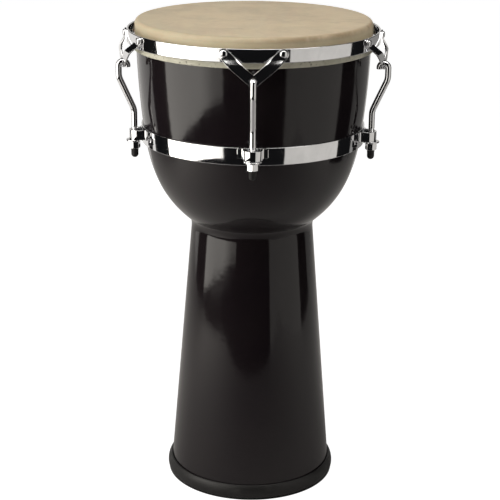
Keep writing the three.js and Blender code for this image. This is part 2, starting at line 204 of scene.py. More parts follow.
def offset(line, distance):
    """A rising line moved sideways, towards the axis for a positive distance."""
    moved = []
    for i, (x, y) in enumerate(line):
        before = Vector(line[max(i - 1, 0)])
        after = Vector(line[min(i + 1, len(line) - 1)])
        along = (after - before).normalized()
        moved.append((x - along.y * distance, y + along.x * distance))
    return moved


def radius_at(line, height):
    """Radius of a rising line at a height."""
    for low, high in zip(line, line[1:]):
        if high[1] >= height:
            return low[0] + (high[0] - low[0]) * (height - low[1]) / (high[1] - low[1])
    return line[-1][0]


def spaced(start, end, steps):
    """Points along a straight line, the first left out."""
    a, b = Vector(start), Vector(end)
    return [tuple(a.lerp(b, i / steps)) for i in range(1, steps + 1)]


# ---------- meshes ----------


def lofted(loops, joined=False, capped=True):
    """Vertices and faces between loops of points. A loop of one point is a pole."""
    verts, faces, starts = [], [], []
    for loop in loops:
        starts.append(len(verts))
        verts.extend(loop)
    pairs = list(zip(range(len(loops) - 1), range(1, len(loops))))
    if joined:
        pairs.append((len(loops) - 1, 0))
    for a, b in pairs:
        count_a, count_b = len(loops[a]), len(loops[b])
        count = max(count_a, count_b)
        for j in range(count):
            k = (j + 1) % count
            corners = [
                starts[a] + j % count_a,
                starts[a] + k % count_a,
                starts[b] + k % count_b,
                starts[b] + j % count_b,
            ]
            faces.append(list(dict.fromkeys(corners)))
    if capped and not joined:
        for i in (0, len(loops) - 1):
            if len(loops[i]) > 2:
                faces.append([starts[i] + j for j in range(len(loops[i]))])
    return verts, faces


def ring(radius, height, segments):
    """Points round +Z at a height, or one point on the axis."""
    if radius < SAME_POINT:
        return [(0.0, 0.0, height)]
    spokes = [FULL_TURN * j / segments for j in range(segments)]
    return [(radius * math.cos(a), radius * math.sin(a), height) for a in spokes]


def revolved(outline, segments=ROUND_SEGMENTS):
    """An outline of (radius, height) turned round +Z: closed, or from the axis to the axis."""
    loops = [ring(radius, height, segments) for radius, height in outline]
    return lofted(loops, joined=len(loops[0]) > 1)


def mesh_object(name, verts, faces, sharp_degrees=SHARP_DEGREES):
    """A smoothly shaded object, with its double points joined and its faces outwards."""
    mesh = bpy.data.meshes.new(name)
    mesh.from_pydata([tuple(v) for v in verts], [], faces)
    bm = bmesh.new()
    bm.from_mesh(mesh)
    bmesh.ops.remove_doubles(bm, verts=bm.verts, dist=SAME_POINT)
    bmesh.ops.recalc_face_normals(bm, faces=bm.faces)
    bm.to_mesh(mesh)
    bm.free()
    obj = bpy.data.objects.new(name, mesh)
    bpy.context.scene.collection.objects.link(obj)
    soften(obj, sharp_degrees)
    return obj


def soften(obj, sharp_degrees=SHARP_DEGREES):
    """Shades a piece smoothly, except over its sharp edges."""
    obj.data.shade_smooth()
    obj.data.set_sharp_from_angle(angle=math.radians(sharp_degrees))


def drill(obj, cutters):
    """Cuts the cutter objects out of a piece, and removes them."""
    for cutter in cutters:
        cut = obj.modifiers.new("hole", "BOOLEAN")
        cut.operation = "DIFFERENCE"
        cut.solver = "EXACT"
        cut.object = cutter
    graph = bpy.context.evaluated_depsgraph_get()
    mesh = bpy.data.meshes.new_from_object(obj.evaluated_get(graph))
    obj.modifiers.clear()
    obj.data = mesh
    for cutter in cutters:
        bpy.data.objects.remove(cutter)
    soften(obj)


def radial_placing(angle, height, radius=0.0):
    """Turns a shape made round +Z so that +Z points outwards at an angle and height."""
    outwards = Matrix.Rotation(angle, 4, "Z") @ Matrix.Translation((radius, 0, height))
    return outwards @ Matrix.Rotation(QUARTER, 4, "Y")


def countersunk_cutter(radius, depth, chamfer, placing):
    """A drill for a plate whose middle is at the origin, with a chamfer on both faces."""
    half = depth / 2
    past = chamfer * 4  # how far the cones run on beyond the faces
    outline = [
        (0, -half - past),
        (radius + chamfer + past, -half - past),
        (radius, -half + chamfer),
        (radius, half - chamfer),
        (radius + chamfer + past, half + past),
        (0, half + past),
    ]
    cutter = mesh_object("cutter", *revolved(outline, segments=48))
    cutter.data.transform(placing)
    return cutter


def finish_piece(obj, look, body, node):
    """Gives a piece the material of its look and its body, and hides its CAD node."""
    material, slot = look
    obj.data.materials.append(material)
    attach(obj, body)
    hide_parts(node)


# ---------- shell, foot and band ----------


def pipe_radius(height):
    """Outer radius of the straight, flared pipe."""
    return PIPE_TOP[0] + (PIPE_TOP[1] - height) * PIPE_TAPER


def shell_outside():
    """The outer wall from the pipe's lower edge up to the bearing edge."""
    edge_start = (BEARING_EDGE_RADIUS, SHELL_TOP_Z - BEARING_EDGE_ROUND)
    foot = (pipe_radius(PIPE_END_Z), PIPE_END_Z)
    return [
        foot,
        *spaced(foot, PIPE_TOP, 24),
        *bezier([PIPE_TOP, NECK_CORNER, BOWL_START], 14),
        *bezier([BOWL_START, BOWL_PULL_LOW, BOWL_PULL_HIGH, BOWL_END], 44),
        *bezier([BOWL_END, UPPER_WALL_PULL, edge_start], 24),
    ]


OUTSIDE = shell_outside()


def edge_arc(grow, steps=10):
    """The bearing edge's round, from the outer wall up to its crest."""
    centre = (BEARING_EDGE_RADIUS - BEARING_EDGE_ROUND, SHELL_TOP_Z - BEARING_EDGE_ROUND)
    return arc(centre, BEARING_EDGE_ROUND + grow, 0, QUARTER, steps)


def make_shell(lacquer, raw_material):
    """The goblet, lacquered outside and over its edge, with the wall's inside left raw."""
    crest_fall = 1 * MM
    facing_in = -1e-4  # a face below this looks towards the axis
    inside = offset(OUTSIDE, SHELL_WALL)
    inside[0] = (inside[0][0], PIPE_END_Z)
    inside_top = (BEARING_EDGE_RADIUS - SHELL_WALL, SHELL_TOP_Z - crest_fall)
    outline = [*OUTSIDE[:-1], *edge_arc(0), inside_top, *reversed(inside)]
    shell = mesh_object("shell_goblet", *revolved(outline))
    finish_piece(shell, lacquer, "root", "shell")
    shell.data.materials.append(raw_material)
    for face in shell.data.polygons:
        outward = Vector(face.center[:2]).dot(Vector(face.normal[:2]))
        on_wall = face.center.z < inside_top[1] - crest_fall
        face.material_index = 1 if outward < facing_in and on_wall else 0


def make_foot_ring(rubber):
    """A rubber channel round the pipe's lower edge: bulging outside, low and plain inside."""

    def channel(height):
        return pipe_radius(height) - SHELL_WALL - 2 * GAP

    bore = pipe_radius(0) - SHELL_WALL - GAP - FOOT_INNER_WALL
    lip = pipe_radius(FOOT_HIGH.z) + GAP
    heel = (FOOT_BOTTOM_RADIUS - 2.2 * MM, 0)
    heel_pull = (FOOT_BULGE[0] - 0.4 * MM, 0)
    side_pull_low = (FOOT_BULGE[0] + 0.1 * MM, 13 * MM)
    side_pull_high = (FOOT_TOP_RADIUS + 1.2 * MM, 17 * MM)
    side_top = (FOOT_TOP_RADIUS, FOOT_HIGH.z - 1.3 * MM)
    top_pull = (FOOT_TOP_RADIUS - 0.1 * MM, FOOT_HIGH.z)
    lip_ease = (0.6 * MM, 0.5 * MM)
    top_ease = 0.8 * MM
    base_ease = 1 * MM
    outline = [
        heel,
        *bezier([heel, heel_pull, FOOT_BULGE], 10),
        *bezier([FOOT_BULGE, side_pull_low, side_pull_high, side_top], 14),
        *bezier([side_top, top_pull, (lip + lip_ease[0], FOOT_HIGH.z)], 5),
        (lip, FOOT_HIGH.z - lip_ease[1]),
        (pipe_radius(PIPE_END_Z) + GAP, PIPE_END_Z - GAP),
        (channel(PIPE_END_Z), PIPE_END_Z - GAP),
        (channel(FOOT_INNER_TOP_Z), FOOT_INNER_TOP_Z - lip_ease[1]),
        (channel(FOOT_INNER_TOP_Z) - lip_ease[0], FOOT_INNER_TOP_Z),
        (bore + top_ease, FOOT_INNER_TOP_Z),
        (bore, FOOT_INNER_TOP_Z - top_ease),
        (bore, base_ease),
        (bore + base_ease, 0),
    ]
    foot = mesh_object("foot_ring_moulding", *revolved(outline))
    finish_piece(foot, rubber, "root", "foot_ring")


def make_belly_band(chrome):
    """A strip round the bowl, with its outer edges eased."""
    low, high = BAND_LOW.z, BAND_HIGH.z
    edge = 0.7 * MM
    inner = BAND_RADIUS - BAND_THICKNESS
    corners = [
        (BAND_RADIUS, low, edge),
        (BAND_RADIUS, high, edge),
        (inner, high, edge / 2),
        (inner, low, edge / 2),
    ]
    band = mesh_object("belly_band_strip", *revolved(rounded(corners, 5)))
    finish_piece(band, chrome, "root", "belly_band")


# ---------- head and hoops ----------


def make_head(hide_material):
    """The hide: flat on top, round over the bearing edge, with a collar down the wall."""
    under = GAP
    over = GAP + SKIN_THICKNESS
    flat_radius = BEARING_EDGE_RADIUS - BEARING_EDGE_ROUND
    wall_top = SHELL_TOP_Z - BEARING_EDGE_ROUND
    top_rings, bottom_rings, collar_rings = 46, 8, 12
    fall = COLLAR_END_Z - wall_top
    heights = [wall_top + fall * i / collar_rings for i in range(1, collar_rings + 1)]
    top = [(flat_radius * i / top_rings, SHELL_TOP_Z + over) for i in range(top_rings)]
    bottom = [(flat_radius * i / bottom_rings, SHELL_TOP_Z + under) for i in range(bottom_rings)]
    down_outside = [(radius_at(OUTSIDE, z) + over, z) for z in heights]
    up_inside = [(radius_at(OUTSIDE, z) + under, z) for z in reversed(heights)]
    outline = [
        *bottom,
        *reversed(edge_arc(under)),
        *reversed(up_inside),
        *reversed(down_outside),
        *edge_arc(over, 14),
        *reversed(top),
    ]
    verts, faces = revolved(outline, segments=288)
    dip_scale, dip_depth = 38, 0.16 * MM
    pucker_scale, pucker_depth, pucker_sink = (34, 30), 0.22 * MM, 0.1 * MM
    pucker_slice = 2.5  # which slice of the noise the puckers are taken from
    collar_start = BEARING_EDGE_RADIUS + 0.8 * MM
    collar_low = COLLAR_END_Z + 1 * MM
    uneven = []
    for x, y, z in verts:
        away = math.hypot(x, y)
        if z > SHELL_TOP_Z + under + SKIN_THICKNESS / 2:
            z -= dip_depth * (0.5 + 0.5 * noise.noise(Vector((x, y, z)) * dip_scale))
        elif away > collar_start and z > collar_low:
            spot = (math.atan2(y, x) * pucker_scale[0], z * pucker_scale[1], pucker_slice)
            grow = 1 + (pucker_depth * noise.noise(Vector(spot)) - pucker_sink) / away
            x, y = x * grow, y * grow
        uneven.append((x, y, z))
    head = mesh_object("head_hide", uneven, faces, sharp_degrees=60)
    head.data.materials.append(hide_material)
    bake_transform(head)
    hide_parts("drum_skin")


def make_flesh_hoop(lapped):
    """The ring that the hide is lapped round: a soft roll with puckers and a lapped edge."""
    low, high = FLESH_LOW.z, FLESH_HIGH.z
    half_height = (high - low) / 2
    half_width = 2.2 * MM
    axis = FLESH_HIGH.x - half_width
    middle = (low + high) / 2
    fullness = 0.72  # 1 gives an ellipse, less gives a squarer section
    puckers = ((26, 0.9, 0.05), (90, 2.2, 0.03))  # (scale around, scale over, depth)
    lap_depth, lap_start, lap_end = 0.24 * MM, -1.15, -0.35  # angles on the outer, lower side
    sides, segments = 36, 360

    def shrink(around, turn):
        share = 1
        for scale_around, scale_over, depth in puckers:
            c, s = math.cos(around), math.sin(around)
            spot = Vector((c * scale_around, s * scale_around, turn * scale_over))
            share -= depth * (0.5 + 0.5 * noise.noise(spot))
        return share

    loops = []
    for i in range(sides):
        turn = FULL_TURN * i / sides
        c, s = math.cos(turn), math.sin(turn)
        across = math.copysign(abs(c) ** fullness, c) * half_width
        up = math.copysign(abs(s) ** fullness, s) * half_height
        lap = lap_depth if lap_start < math.remainder(turn, FULL_TURN) < lap_end else 0.0
        loop = []
        for j in range(segments):
            around = FULL_TURN * j / segments
            size = shrink(around, turn)
            radius = axis + across * size - lap
            loop.append((radius * math.cos(around), radius * math.sin(around), middle + up * size))
        loops.append(loop)
    roll = mesh_object("flesh_hoop_roll", *lofted(loops, joined=True), sharp_degrees=60)
    finish_piece(roll, lapped, "rim", "flesh_hoop")


def make_tension_hoop(chrome):
    """A flat band with a lip turned in at its lower edge, over the flesh hoop."""
    low, high = HOOP_LOW.z, HOOP_HIGH.z
    lip_top = low + HOOP_THICKNESS
    inner = HOOP_RADIUS - HOOP_THICKNESS
    corners = [
        (HOOP_LIP_RADIUS, low, 0.8 * MM),
        (HOOP_RADIUS, low, 1.1 * MM),
        (HOOP_RADIUS, high, 1.0 * MM),
        (inner, high, 1.0 * MM),
        (inner, lip_top, 0.6 * MM),
        (HOOP_LIP_RADIUS, lip_top, 0.8 * MM),
    ]
    hoop = mesh_object("tension_hoop_band", *revolved(rounded(corners, 6)))
    finish_piece(hoop, chrome, "rim", "tension_hoop")


# ---------- side plates and rivets, made about a lug at angle 0 ----------


def soft_ramp(x, width):
    """Nothing below zero and x above it, with a round corner that is two widths long."""
    if abs(x) >= width:
        return max(x, 0)
    return (x + width) ** 2 / (4 * width)


def plate_radius(height):
    """Inner face of the plate: on the hoop above, stepped outwards below it."""
    span = PLATE_JOGGLE_TOP_Z - PLATE_JOGGLE_BOTTOM_Z
    fall = PLATE_JOGGLE_TOP_Z - height
    ramp = soft_ramp(fall, PLATE_JOGGLE_ROUND) - soft_ramp(fall - span, PLATE_JOGGLE_ROUND)
    return PLATE_FACE_RADIUS + (PLATE_LOWER_RADIUS - PLATE_FACE_RADIUS) * ramp / span


def plate_edge_pairs(inset):
    """Outer and inner edge points of the V's right leg in the flat sheet, drawn in by inset."""
    toe = Vector((0, PLATE_TOE_Z))
    leg = Vector((PLATE_RIVET_REACH, RIVET_Z)) - toe
    along = leg.normalized()
    upwards = Vector((-along.y, along.x))
    half = PLATE_LEG_HALF_WIDTH - inset
    crotch = toe + Vector((0, half / along.x))
    lean = math.atan2(along.y, along.x)
    toe_steps, leg_steps, end_steps = 6, 26, 9
    steps = toe_steps + leg_steps
    crowding = 1.15  # above 1, the inner edge's points stand closer near the crotch
    end_turn = math.radians(86)  # nearly a quarter, so that the end's last pair stays apart
    pairs = []
    for i in range(steps + 1):
        inner = crotch.lerp(toe + leg + upwards * half, (i / steps) ** crowding)
        if i <= toe_steps:
            turn = -QUARTER + lean * i / toe_steps
            outer = toe + Vector((math.cos(turn), math.sin(turn))) * half
        else:
            outer = toe + leg * ((i - toe_steps) / leg_steps) - upwards * half
        pairs.append((outer, inner))
    for i in range(1, end_steps + 1):
        turn = end_turn * i / end_steps
        end = toe + leg + along * half * math.sin(turn)
        pairs.append((end - upwards * half * math.cos(turn), end + upwards * half * math.cos(turn)))
    return pairs


def bent(x, height, depth):
    """A point of the flat sheet, curved round the hoop and joggled; depth is from the middle."""
    angle = x / PLATE_FACE_RADIUS
    radius = plate_radius(height) + depth + PLATE_THICKNESS / 2
    return (radius * math.cos(angle), radius * math.sin(angle), height)


def plate_mesh():
    """Two faces of the V strip, and the rounded edge between them."""
    edge = 0.3 * MM
    half = PLATE_THICKNESS / 2
    across_steps, edge_steps = 8, 4
    verts, faces = [], []
    face_pairs = plate_edge_pairs(edge)
    stations = range(-len(face_pairs) + 1, len(face_pairs))

    def sheet_point(pairs, station, share):
        outer, inner = pairs[abs(station)]
        flat = outer.lerp(inner, share)
        return (math.copysign(flat.x, station) if station else 0.0), flat.y

    for depth in (half, -half):
        start = len(verts)
        for station in stations:
            for k in range(across_steps + 1):
                verts.append(bent(*sheet_point(face_pairs, station, k / across_steps), depth))
        width = across_steps + 1
        for i in range(len(stations) - 1):
            for k in range(across_steps):
                corner = start + i * width + k
                faces.append([corner, corner + 1, corner + width + 1, corner + width])
    rim_rows = []
    for k in range(edge_steps + 1):
        turn = QUARTER * k / edge_steps
        rim_rows.append((edge * (1 - math.sin(turn)), half - edge * (1 - math.cos(turn))))
    rim_rows += [(inset, -depth) for inset, depth in reversed(rim_rows)]
    shares = [k / across_steps for k in range(1, across_steps)]
    border = [(station, 0.0) for station in stations]
    border += [(stations[-1], share) for share in shares]
    border += [(station, 1.0) for station in reversed(stations)]
    border += [(stations[0], share) for share in reversed(shares)]
    loops = []
    for inset, depth in rim_rows:
        pairs = plate_edge_pairs(inset)
        loops.append([bent(*sheet_point(pairs, station, share), depth) for station, share in border])
    rim_verts, rim_faces = lofted(loops, capped=False)
    faces += [[len(verts) + corner for corner in face] for face in rim_faces]
    return verts + rim_verts, faces


def drill_plate(plate):
    """Cuts the eye that the rod hooks through, and the two rivet holes."""
    lower_middle = PLATE_LOWER_RADIUS + PLATE_THICKNESS / 2
    upper_middle = PLATE_FACE_RADIUS + PLATE_THICKNESS / 2
    eye_chamfer = 0.35 * MM
    hole_chamfer = 0.1 * MM
    eye = radial_placing(0, PLATE_EYE_Z, lower_middle)
    cutters = [countersunk_cutter(PLATE_EYE_RADIUS, PLATE_THICKNESS, eye_chamfer, eye)]
    for swing in (-RIVET_SWING, RIVET_SWING):
        hole = radial_placing(swing, RIVET_Z, upper_middle)
        cutters.append(countersunk_cutter(RIVET_HOLE_RADIUS, PLATE_THICKNESS, hole_chamfer, hole))
    drill(plate, cutters)


def rivet_outline():
    """Tail, shank and domed head along +Z, measured from the shell's axis."""
    plate_face = PLATE_FACE_RADIUS + PLATE_THICKNESS + GAP
    crown = plate_face + RIVET_HEAD_HEIGHT
    tail_face = HOOP_RADIUS - HOOP_THICKNESS - GAP
    rim = 0.5 * MM
    ease = 0.2 * MM
    head_edge = (RIVET_HEAD_RADIUS, plate_face + rim)
    head_pull_low = (RIVET_HEAD_RADIUS * 0.9, plate_face + RIVET_HEAD_HEIGHT * 0.8)
    head_pull_high = (RIVET_HEAD_RADIUS * 0.5, crown)
    return [
        (0, tail_face - RIVET_TAIL_HEIGHT),
        (RIVET_TAIL_RADIUS * 0.7, tail_face - RIVET_TAIL_HEIGHT * 0.8),
        (RIVET_TAIL_RADIUS, tail_face - 0.3 * MM),
        (RIVET_TAIL_RADIUS, tail_face),
        (RIVET_SHANK_RADIUS, tail_face),
        (RIVET_SHANK_RADIUS, plate_face),
        (RIVET_HEAD_RADIUS - ease, plate_face),
        (RIVET_HEAD_RADIUS, plate_face + ease),
        head_edge,
        *bezier([head_edge, head_pull_low, head_pull_high, (0, crown)], 14),
    ]


# ---------- rods and lower lugs, made about a lug at angle 0 ----------


def rod_line():
    """Centre line in the radial plane, from the hook's tip to the threaded end."""
    outer_leg = PLATE_LOWER_RADIUS + PLATE_THICKNESS / 2 + HOOK_RADIUS
    inner_leg = outer_leg - 2 * HOOK_RADIUS
    hook_z = HOOK_TOP_Z - HOOK_RADIUS
    tip_z = hook_z - HOOK_TIP_LENGTH
    line = [(inner_leg, tip_z)]
    line += spaced(line[-1], (inner_leg, hook_z), 3)
    line += arc((inner_leg + HOOK_RADIUS, hook_z), HOOK_RADIUS, math.pi, 0, 20)[1:]
    crank_top = Vector((outer_leg, CRANK_TOP_Z))
    crank_bottom = Vector((ROD_AXIS_RADIUS, CRANK_BOTTOM_Z))
    slant = (crank_bottom - crank_top).normalized()
    lean = math.atan2(-slant.x, -slant.y)
    reach = CRANK_BEND_RADIUS * math.tan(lean / 2)
    bend_top = (outer_leg, CRANK_TOP_Z + reach)
    line += spaced(line[-1], bend_top, 6)
    line += arc((outer_leg - CRANK_BEND_RADIUS, bend_top[1]), CRANK_BEND_RADIUS, 0, -lean, 8)[1:]
    slant_end = crank_bottom - slant * reach
    line += spaced(line[-1], tuple(slant_end), 8)
    bend_end_z = CRANK_BOTTOM_Z - reach
    centre = (ROD_AXIS_RADIUS + CRANK_BEND_RADIUS, bend_end_z)
    line += arc(centre, CRANK_BEND_RADIUS, math.pi - lean, math.pi, 8)[1:]
    line += spaced(line[-1], (ROD_AXIS_RADIUS, THREAD_TOP_Z), 4)
    thread_rows = 256  # about eight to each turn of the thread
    line += spaced(line[-1], (ROD_AXIS_RADIUS, ROD_END_Z), thread_rows)
    return line


def smoothstep(x, low, high):
    """0 below low and 1 above high, with a smooth rise between them."""
    t = min(max((x - low) / (high - low), 0), 1)
    return t * t * (3 - 2 * t)


def thread_cut(height, turn):
    """Depth of the M8 thread below the bar's surface at a height and a turn round the rod."""
    run_out = smoothstep(THREAD_TOP_Z - height, *THREAD_RUN_OUT)
    phase = (height / THREAD_PITCH - turn / FULL_TURN) % 1.0
    return THREAD_DEPTH * run_out * (1 - abs(2 * phase - 1))


def rod_mesh():
    """The hooked and cranked bar, round at the hook's tip, threaded and chamfered at its end."""
    line = rod_line()
    chamfer = 0.8 * MM
    tip_rows = 5
    sides = 28
    turns = [FULL_TURN * j / sides for j in range(sides)]
    loops = []
    for i, (x, z) in enumerate(line):
        before = Vector(line[max(i - 1, 0)])
        after = Vector(line[min(i + 1, len(line) - 1)])
        along = (after - before).normalized()
        across = Vector((along.y, -along.x))
        loop = []
        for turn in turns:
            radius = ROD_RADIUS
            if z < THREAD_TOP_Z:
                radius -= thread_cut(z, turn)
                radius = min(radius, ROD_RADIUS - chamfer + (z - ROD_END_Z))
            c, s = math.cos(turn) * radius, math.sin(turn) * radius
            loop.append((x + across.x * c, s, z + across.y * c))
        loops.append(loop)
    tip_x, tip_z = line[0]
    tip = []
    for k in range(tip_rows):
        bend = QUARTER * k / tip_rows
        radius = ROD_RADIUS - chamfer * (1 - math.sin(bend))
        height = tip_z - chamfer * math.cos(bend)
        tip.append([(tip_x + radius * math.cos(t), radius * math.sin(t), height) for t in turns])
    return lofted([*tip, *loops])


def strap_line(foot_radius):
    """Middle line of the strap in plan, from one foot's end round the U to the other's."""
    mid = foot_radius + STRAP_THICKNESS / 2
    leg_y = STRAP_RADIUS - STRAP_THICKNESS / 2
    centre_x = STRAP_REACH - STRAP_RADIUS
    corner_y = leg_y + STRAP_FILLET
    corner_x = math.sqrt(mid**2 - corner_y**2) + STRAP_FILLET
    foot_end = STRAP_FOOT_HALF_SPAN / mid
    foot_start = math.asin(corner_y / mid)
    half = arc((0, 0), mid, foot_end, foot_start, 8)
    half += arc((corner_x, corner_y), STRAP_FILLET, math.pi, 3 * QUARTER, 7)[1:]
    half += spaced(half[-1], (centre_x, leg_y), 2)
    bend = arc((centre_x, 0), leg_y, QUARTER, -QUARTER, 36)[1:-1]
    mirrored = [(x, -y) for x, y in reversed(half)]
    return [*half, *bend, *mirrored]


def strap_mesh():
    """The strip swept along its line, with its feet's corners rounded off."""
    low, high = STRAP_LOW.z, STRAP_HIGH.z
    middle = (low + high) / 2
    line = strap_line(BAND_RADIUS + GAP)
    edge = 0.2 * MM
    corner = 3 * MM
    end_dip = 0.96  # at 1 the corner would be a full quarter round
    half_t = STRAP_THICKNESS / 2
    lengths = [0.0]
    for a, b in zip(line, line[1:]):
        lengths.append(lengths[-1] + (Vector(b) - Vector(a)).length)
    loops = []
    for i, (x, y) in enumerate(line):
        before = Vector(line[max(i - 1, 0)])
        after = Vector(line[min(i + 1, len(line) - 1)])
        along = (after - before).normalized()
        side = Vector((-along.y, along.x))
        from_end = min(lengths[i], lengths[-1] - lengths[i])
        dip = max(0.0, 1 - from_end / corner)
        half_h = (high - low) / 2 - corner * (1 - math.sqrt(1 - end_dip * dip**2))
        quarters = ((-1, -1), (1, -1), (1, 1), (-1, 1))
        section = rounded([(a * half_t, b * half_h, edge) for a, b in quarters], 3)
        loop = []
        for across, up in section:
            loop.append((x + side.x * across, y + side.y * across, middle + up))
        loops.append(loop)
    return lofted(loops)


def washer_outline():
    """A flat ring with eased edges, rounder on top."""
    low, high = WASHER_LOW.z, WASHER_HIGH.z
    radius = (WASHER_HIGH.x - WASHER_LOW.x) / 2
    corners = [
        (BORE_RADIUS, low, 0.2 * MM),
        (radius, low, 0.5 * MM),
        (radius, high, 0.8 * MM),
        (BORE_RADIUS, high, 0.3 * MM),
    ]
    return rounded(corners)


def nut_mesh():
    """A hexagonal nut whose faces end in chamfers turned at 30 degrees."""
    low, high = NUT_LOW.z, NUT_HIGH.z
    apothem = NUT_ACROSS_FLATS / 2
    face_radius = apothem * 0.94  # where the flat face ends and its chamfer starts
    corner_radius = apothem * 1.135  # sharp corners would be at 1.155
    slope = math.tan(math.radians(30))
    bore_chamfer = 0.7 * MM
    ease_in, ease_up = 0.12 * MM, 0.15 * MM
    side_turn = FULL_TURN / 6
    segments = 144
    columns = []
    for j in range(segments):
        turn = FULL_TURN * j / segments
        within = math.remainder(turn - side_turn / 2, side_turn)
        wall = min(apothem / math.cos(within), corner_radius)
        drop = (wall - face_radius) * slope
        spots = [
            (BORE_RADIUS, low + bore_chamfer),
            (BORE_RADIUS + bore_chamfer, low),
            (face_radius, low),
            (wall - ease_in, low + drop),
            (wall, low + drop + ease_up),
            (wall, high - drop - ease_up),
            (wall - ease_in, high - drop),
            (face_radius, high),
            (BORE_RADIUS + bore_chamfer, high),
            (BORE_RADIUS, high - bore_chamfer),
        ]
        columns.append([(r * math.cos(turn), r * math.sin(turn), z) for r, z in spots])
    return lofted(list(zip(*columns)), joined=True)


def cap_outline():
    """A rubber cap: domed end, a plain barrel and a thicker mouth."""
    low, high = CAP_LOW.z, CAP_HIGH.z
    radius = (CAP_HIGH.x - CAP_LOW.x) / 2
    barrel = radius - 0.25 * MM
    mouth_low = high - 2 * MM
    edge = 0.5 * MM
    return [
        *arc((0, low + barrel), barrel, -QUARTER, 0, 12),
        (barrel, mouth_low - 0.6 * MM),
        (radius - 0.05 * MM, mouth_low - 0.3 * MM),
        (radius, mouth_low),
        (radius, high - edge),
        (radius - 0.3 * MM, high - 0.1 * MM),
        (radius - edge, high),
        (BORE_RADIUS + 0.1 * MM, high),
        (BORE_RADIUS, high - 0.3 * MM),
        (BORE_RADIUS, low + CAP_FLOOR),
        (0, low + CAP_FLOOR),
    ]


def make_lug(number, angle, chrome, rubber):
    """Everything of one lug, made at angle 0 and turned to its place."""
    turned = Matrix.Rotation(angle, 4, "Z")
    on_axis = turned @ Matrix.Translation((ROD_AXIS_RADIUS, 0, 0))

    def part(name, mesh, placing, body, node, sharp_degrees=SHARP_DEGREES, look=chrome):
        obj = mesh_object(name, *mesh, sharp_degrees)
        obj.data.transform(placing)
        finish_piece(obj, look, body, node)

    plate = mesh_object(f"v_plate_{number}", *plate_mesh())
    drill_plate(plate)
    plate.data.transform(turned)
    finish_piece(plate, chrome, "rim", f"side_plate_{number}")

    for letter, swing in zip("ab", (-RIVET_SWING, RIVET_SWING)):
        which = f"{number}{letter}"
        placing = radial_placing(angle + swing, RIVET_Z)
        rivet = revolved(rivet_outline(), segments=40)
        part(f"rivet_{which}", rivet, placing, "rim", f"plate_rivet_{which}")

    washer = revolved(washer_outline(), segments=64)
    cap = revolved(cap_outline(), segments=40)
    part(f"hooked_rod_{number}", rod_mesh(), turned, "rim", f"tuning_rod_{number}", 50)
    part(f"strap_{number}", strap_mesh(), turned, "root", f"lug_strap_{number}", 50)
    part(f"washer_{number}", washer, on_axis, "root", f"lug_washer_{number}")
    part(f"hex_nut_{number}", nut_mesh(), on_axis, f"nut_{number}", f"tuning_nut_{number}", 25)
    part(f"domed_cap_{number}", cap, on_axis, "rim", f"rod_cap_{number}", 45, rubber)


# ---------- materials ----------


class Finish:
    """A material being put together from nodes, in the object's own coordinates."""

    def __init__(self, name):
        self.material = bpy.data.materials.new(name)
        self.material.use_nodes = True
        self.tree = self.material.node_tree
        self.shader = self.tree.nodes["Principled BSDF"]
        self.place = self.tree.nodes.new("ShaderNodeTexCoord").outputs["Object"]

    def feed(self, socket, value):
        """Links a value that is a socket, and sets any other."""
        if isinstance(value, bpy.types.NodeSocket):
            self.tree.links.new(value, socket)
        else:
            socket.default_value = value

    def set(self, **values):
        """Feeds the shader's sockets, whose names are written with _ for a space."""
        for name, value in values.items():
            self.feed(self.shader.inputs[name.replace("_", " ")], value)

    def node(self, kind, inputs, **settings):
        """A new node with its settings made and its inputs fed, by name or number."""
        node = self.tree.nodes.new(f"ShaderNode{kind}")
        for key, value in settings.items():
            setattr(node, key, value)
        for key, value in inputs.items():
            self.feed(node.inputs[key], value)
        return node

    def axes(self):
        """The x, y and z of the place."""
        return self.node("SeparateXYZ", {0: self.place}).outputs

    def distance_from(self, point):
        inputs = {0: self.place, 1: point}
        return self.node("VectorMath", inputs, operation="DISTANCE").outputs["Value"]

    def stretched(self, scale):
        return self.node("Mapping", {"Vector": self.place, "Scale": scale}).outputs["Vector"]

    def noise(self, scale, detail=2.0, roughness=0.5, distortion=0.0, place=None):
        inputs = {"Vector": place or self.place, "Scale": scale, "Detail": detail}
        inputs |= {"Roughness": roughness, "Distortion": distortion}
        return self.node("TexNoise", inputs).outputs["Fac"]

    def spread(self, value, low, high, to_low=0.0, to_high=1.0):
        """Maps low..high smoothly to to_low..to_high."""
        inputs = {"Value": value, "From Min": low, "From Max": high, "To Min": to_low, "To Max": to_high}
        return self.node("MapRange", inputs, interpolation_type="SMOOTHSTEP").outputs["Result"]

    def math(self, operation, a, b=0.0):
        return self.node("Math", {0: a, 1: b}, operation=operation).outputs[0]

    def times(self, a, b):
        return self.math("MULTIPLY", a, b)

    def mixed(self, share, a, b):
        """Colour a, going to colour b as the share goes to 1."""
        a, b = ((*colour, 1) if isinstance(colour, tuple) else colour for colour in (a, b))
        # Inputs 6 and 7 and output 2 are the node's sockets for colours.
        return self.node("Mix", {"Factor": share, 6: a, 7: b}, data_type="RGBA").outputs[2]

    def bumps(self, *layers):
        """Stacks (height, distance) layers into the shader's normal."""
        below = {}
        for height, distance in layers:
            bump = self.node("Bump", {"Height": height, "Distance": distance, **below})
            below = {"Normal": bump.outputs["Normal"]}
        self.set(**below)


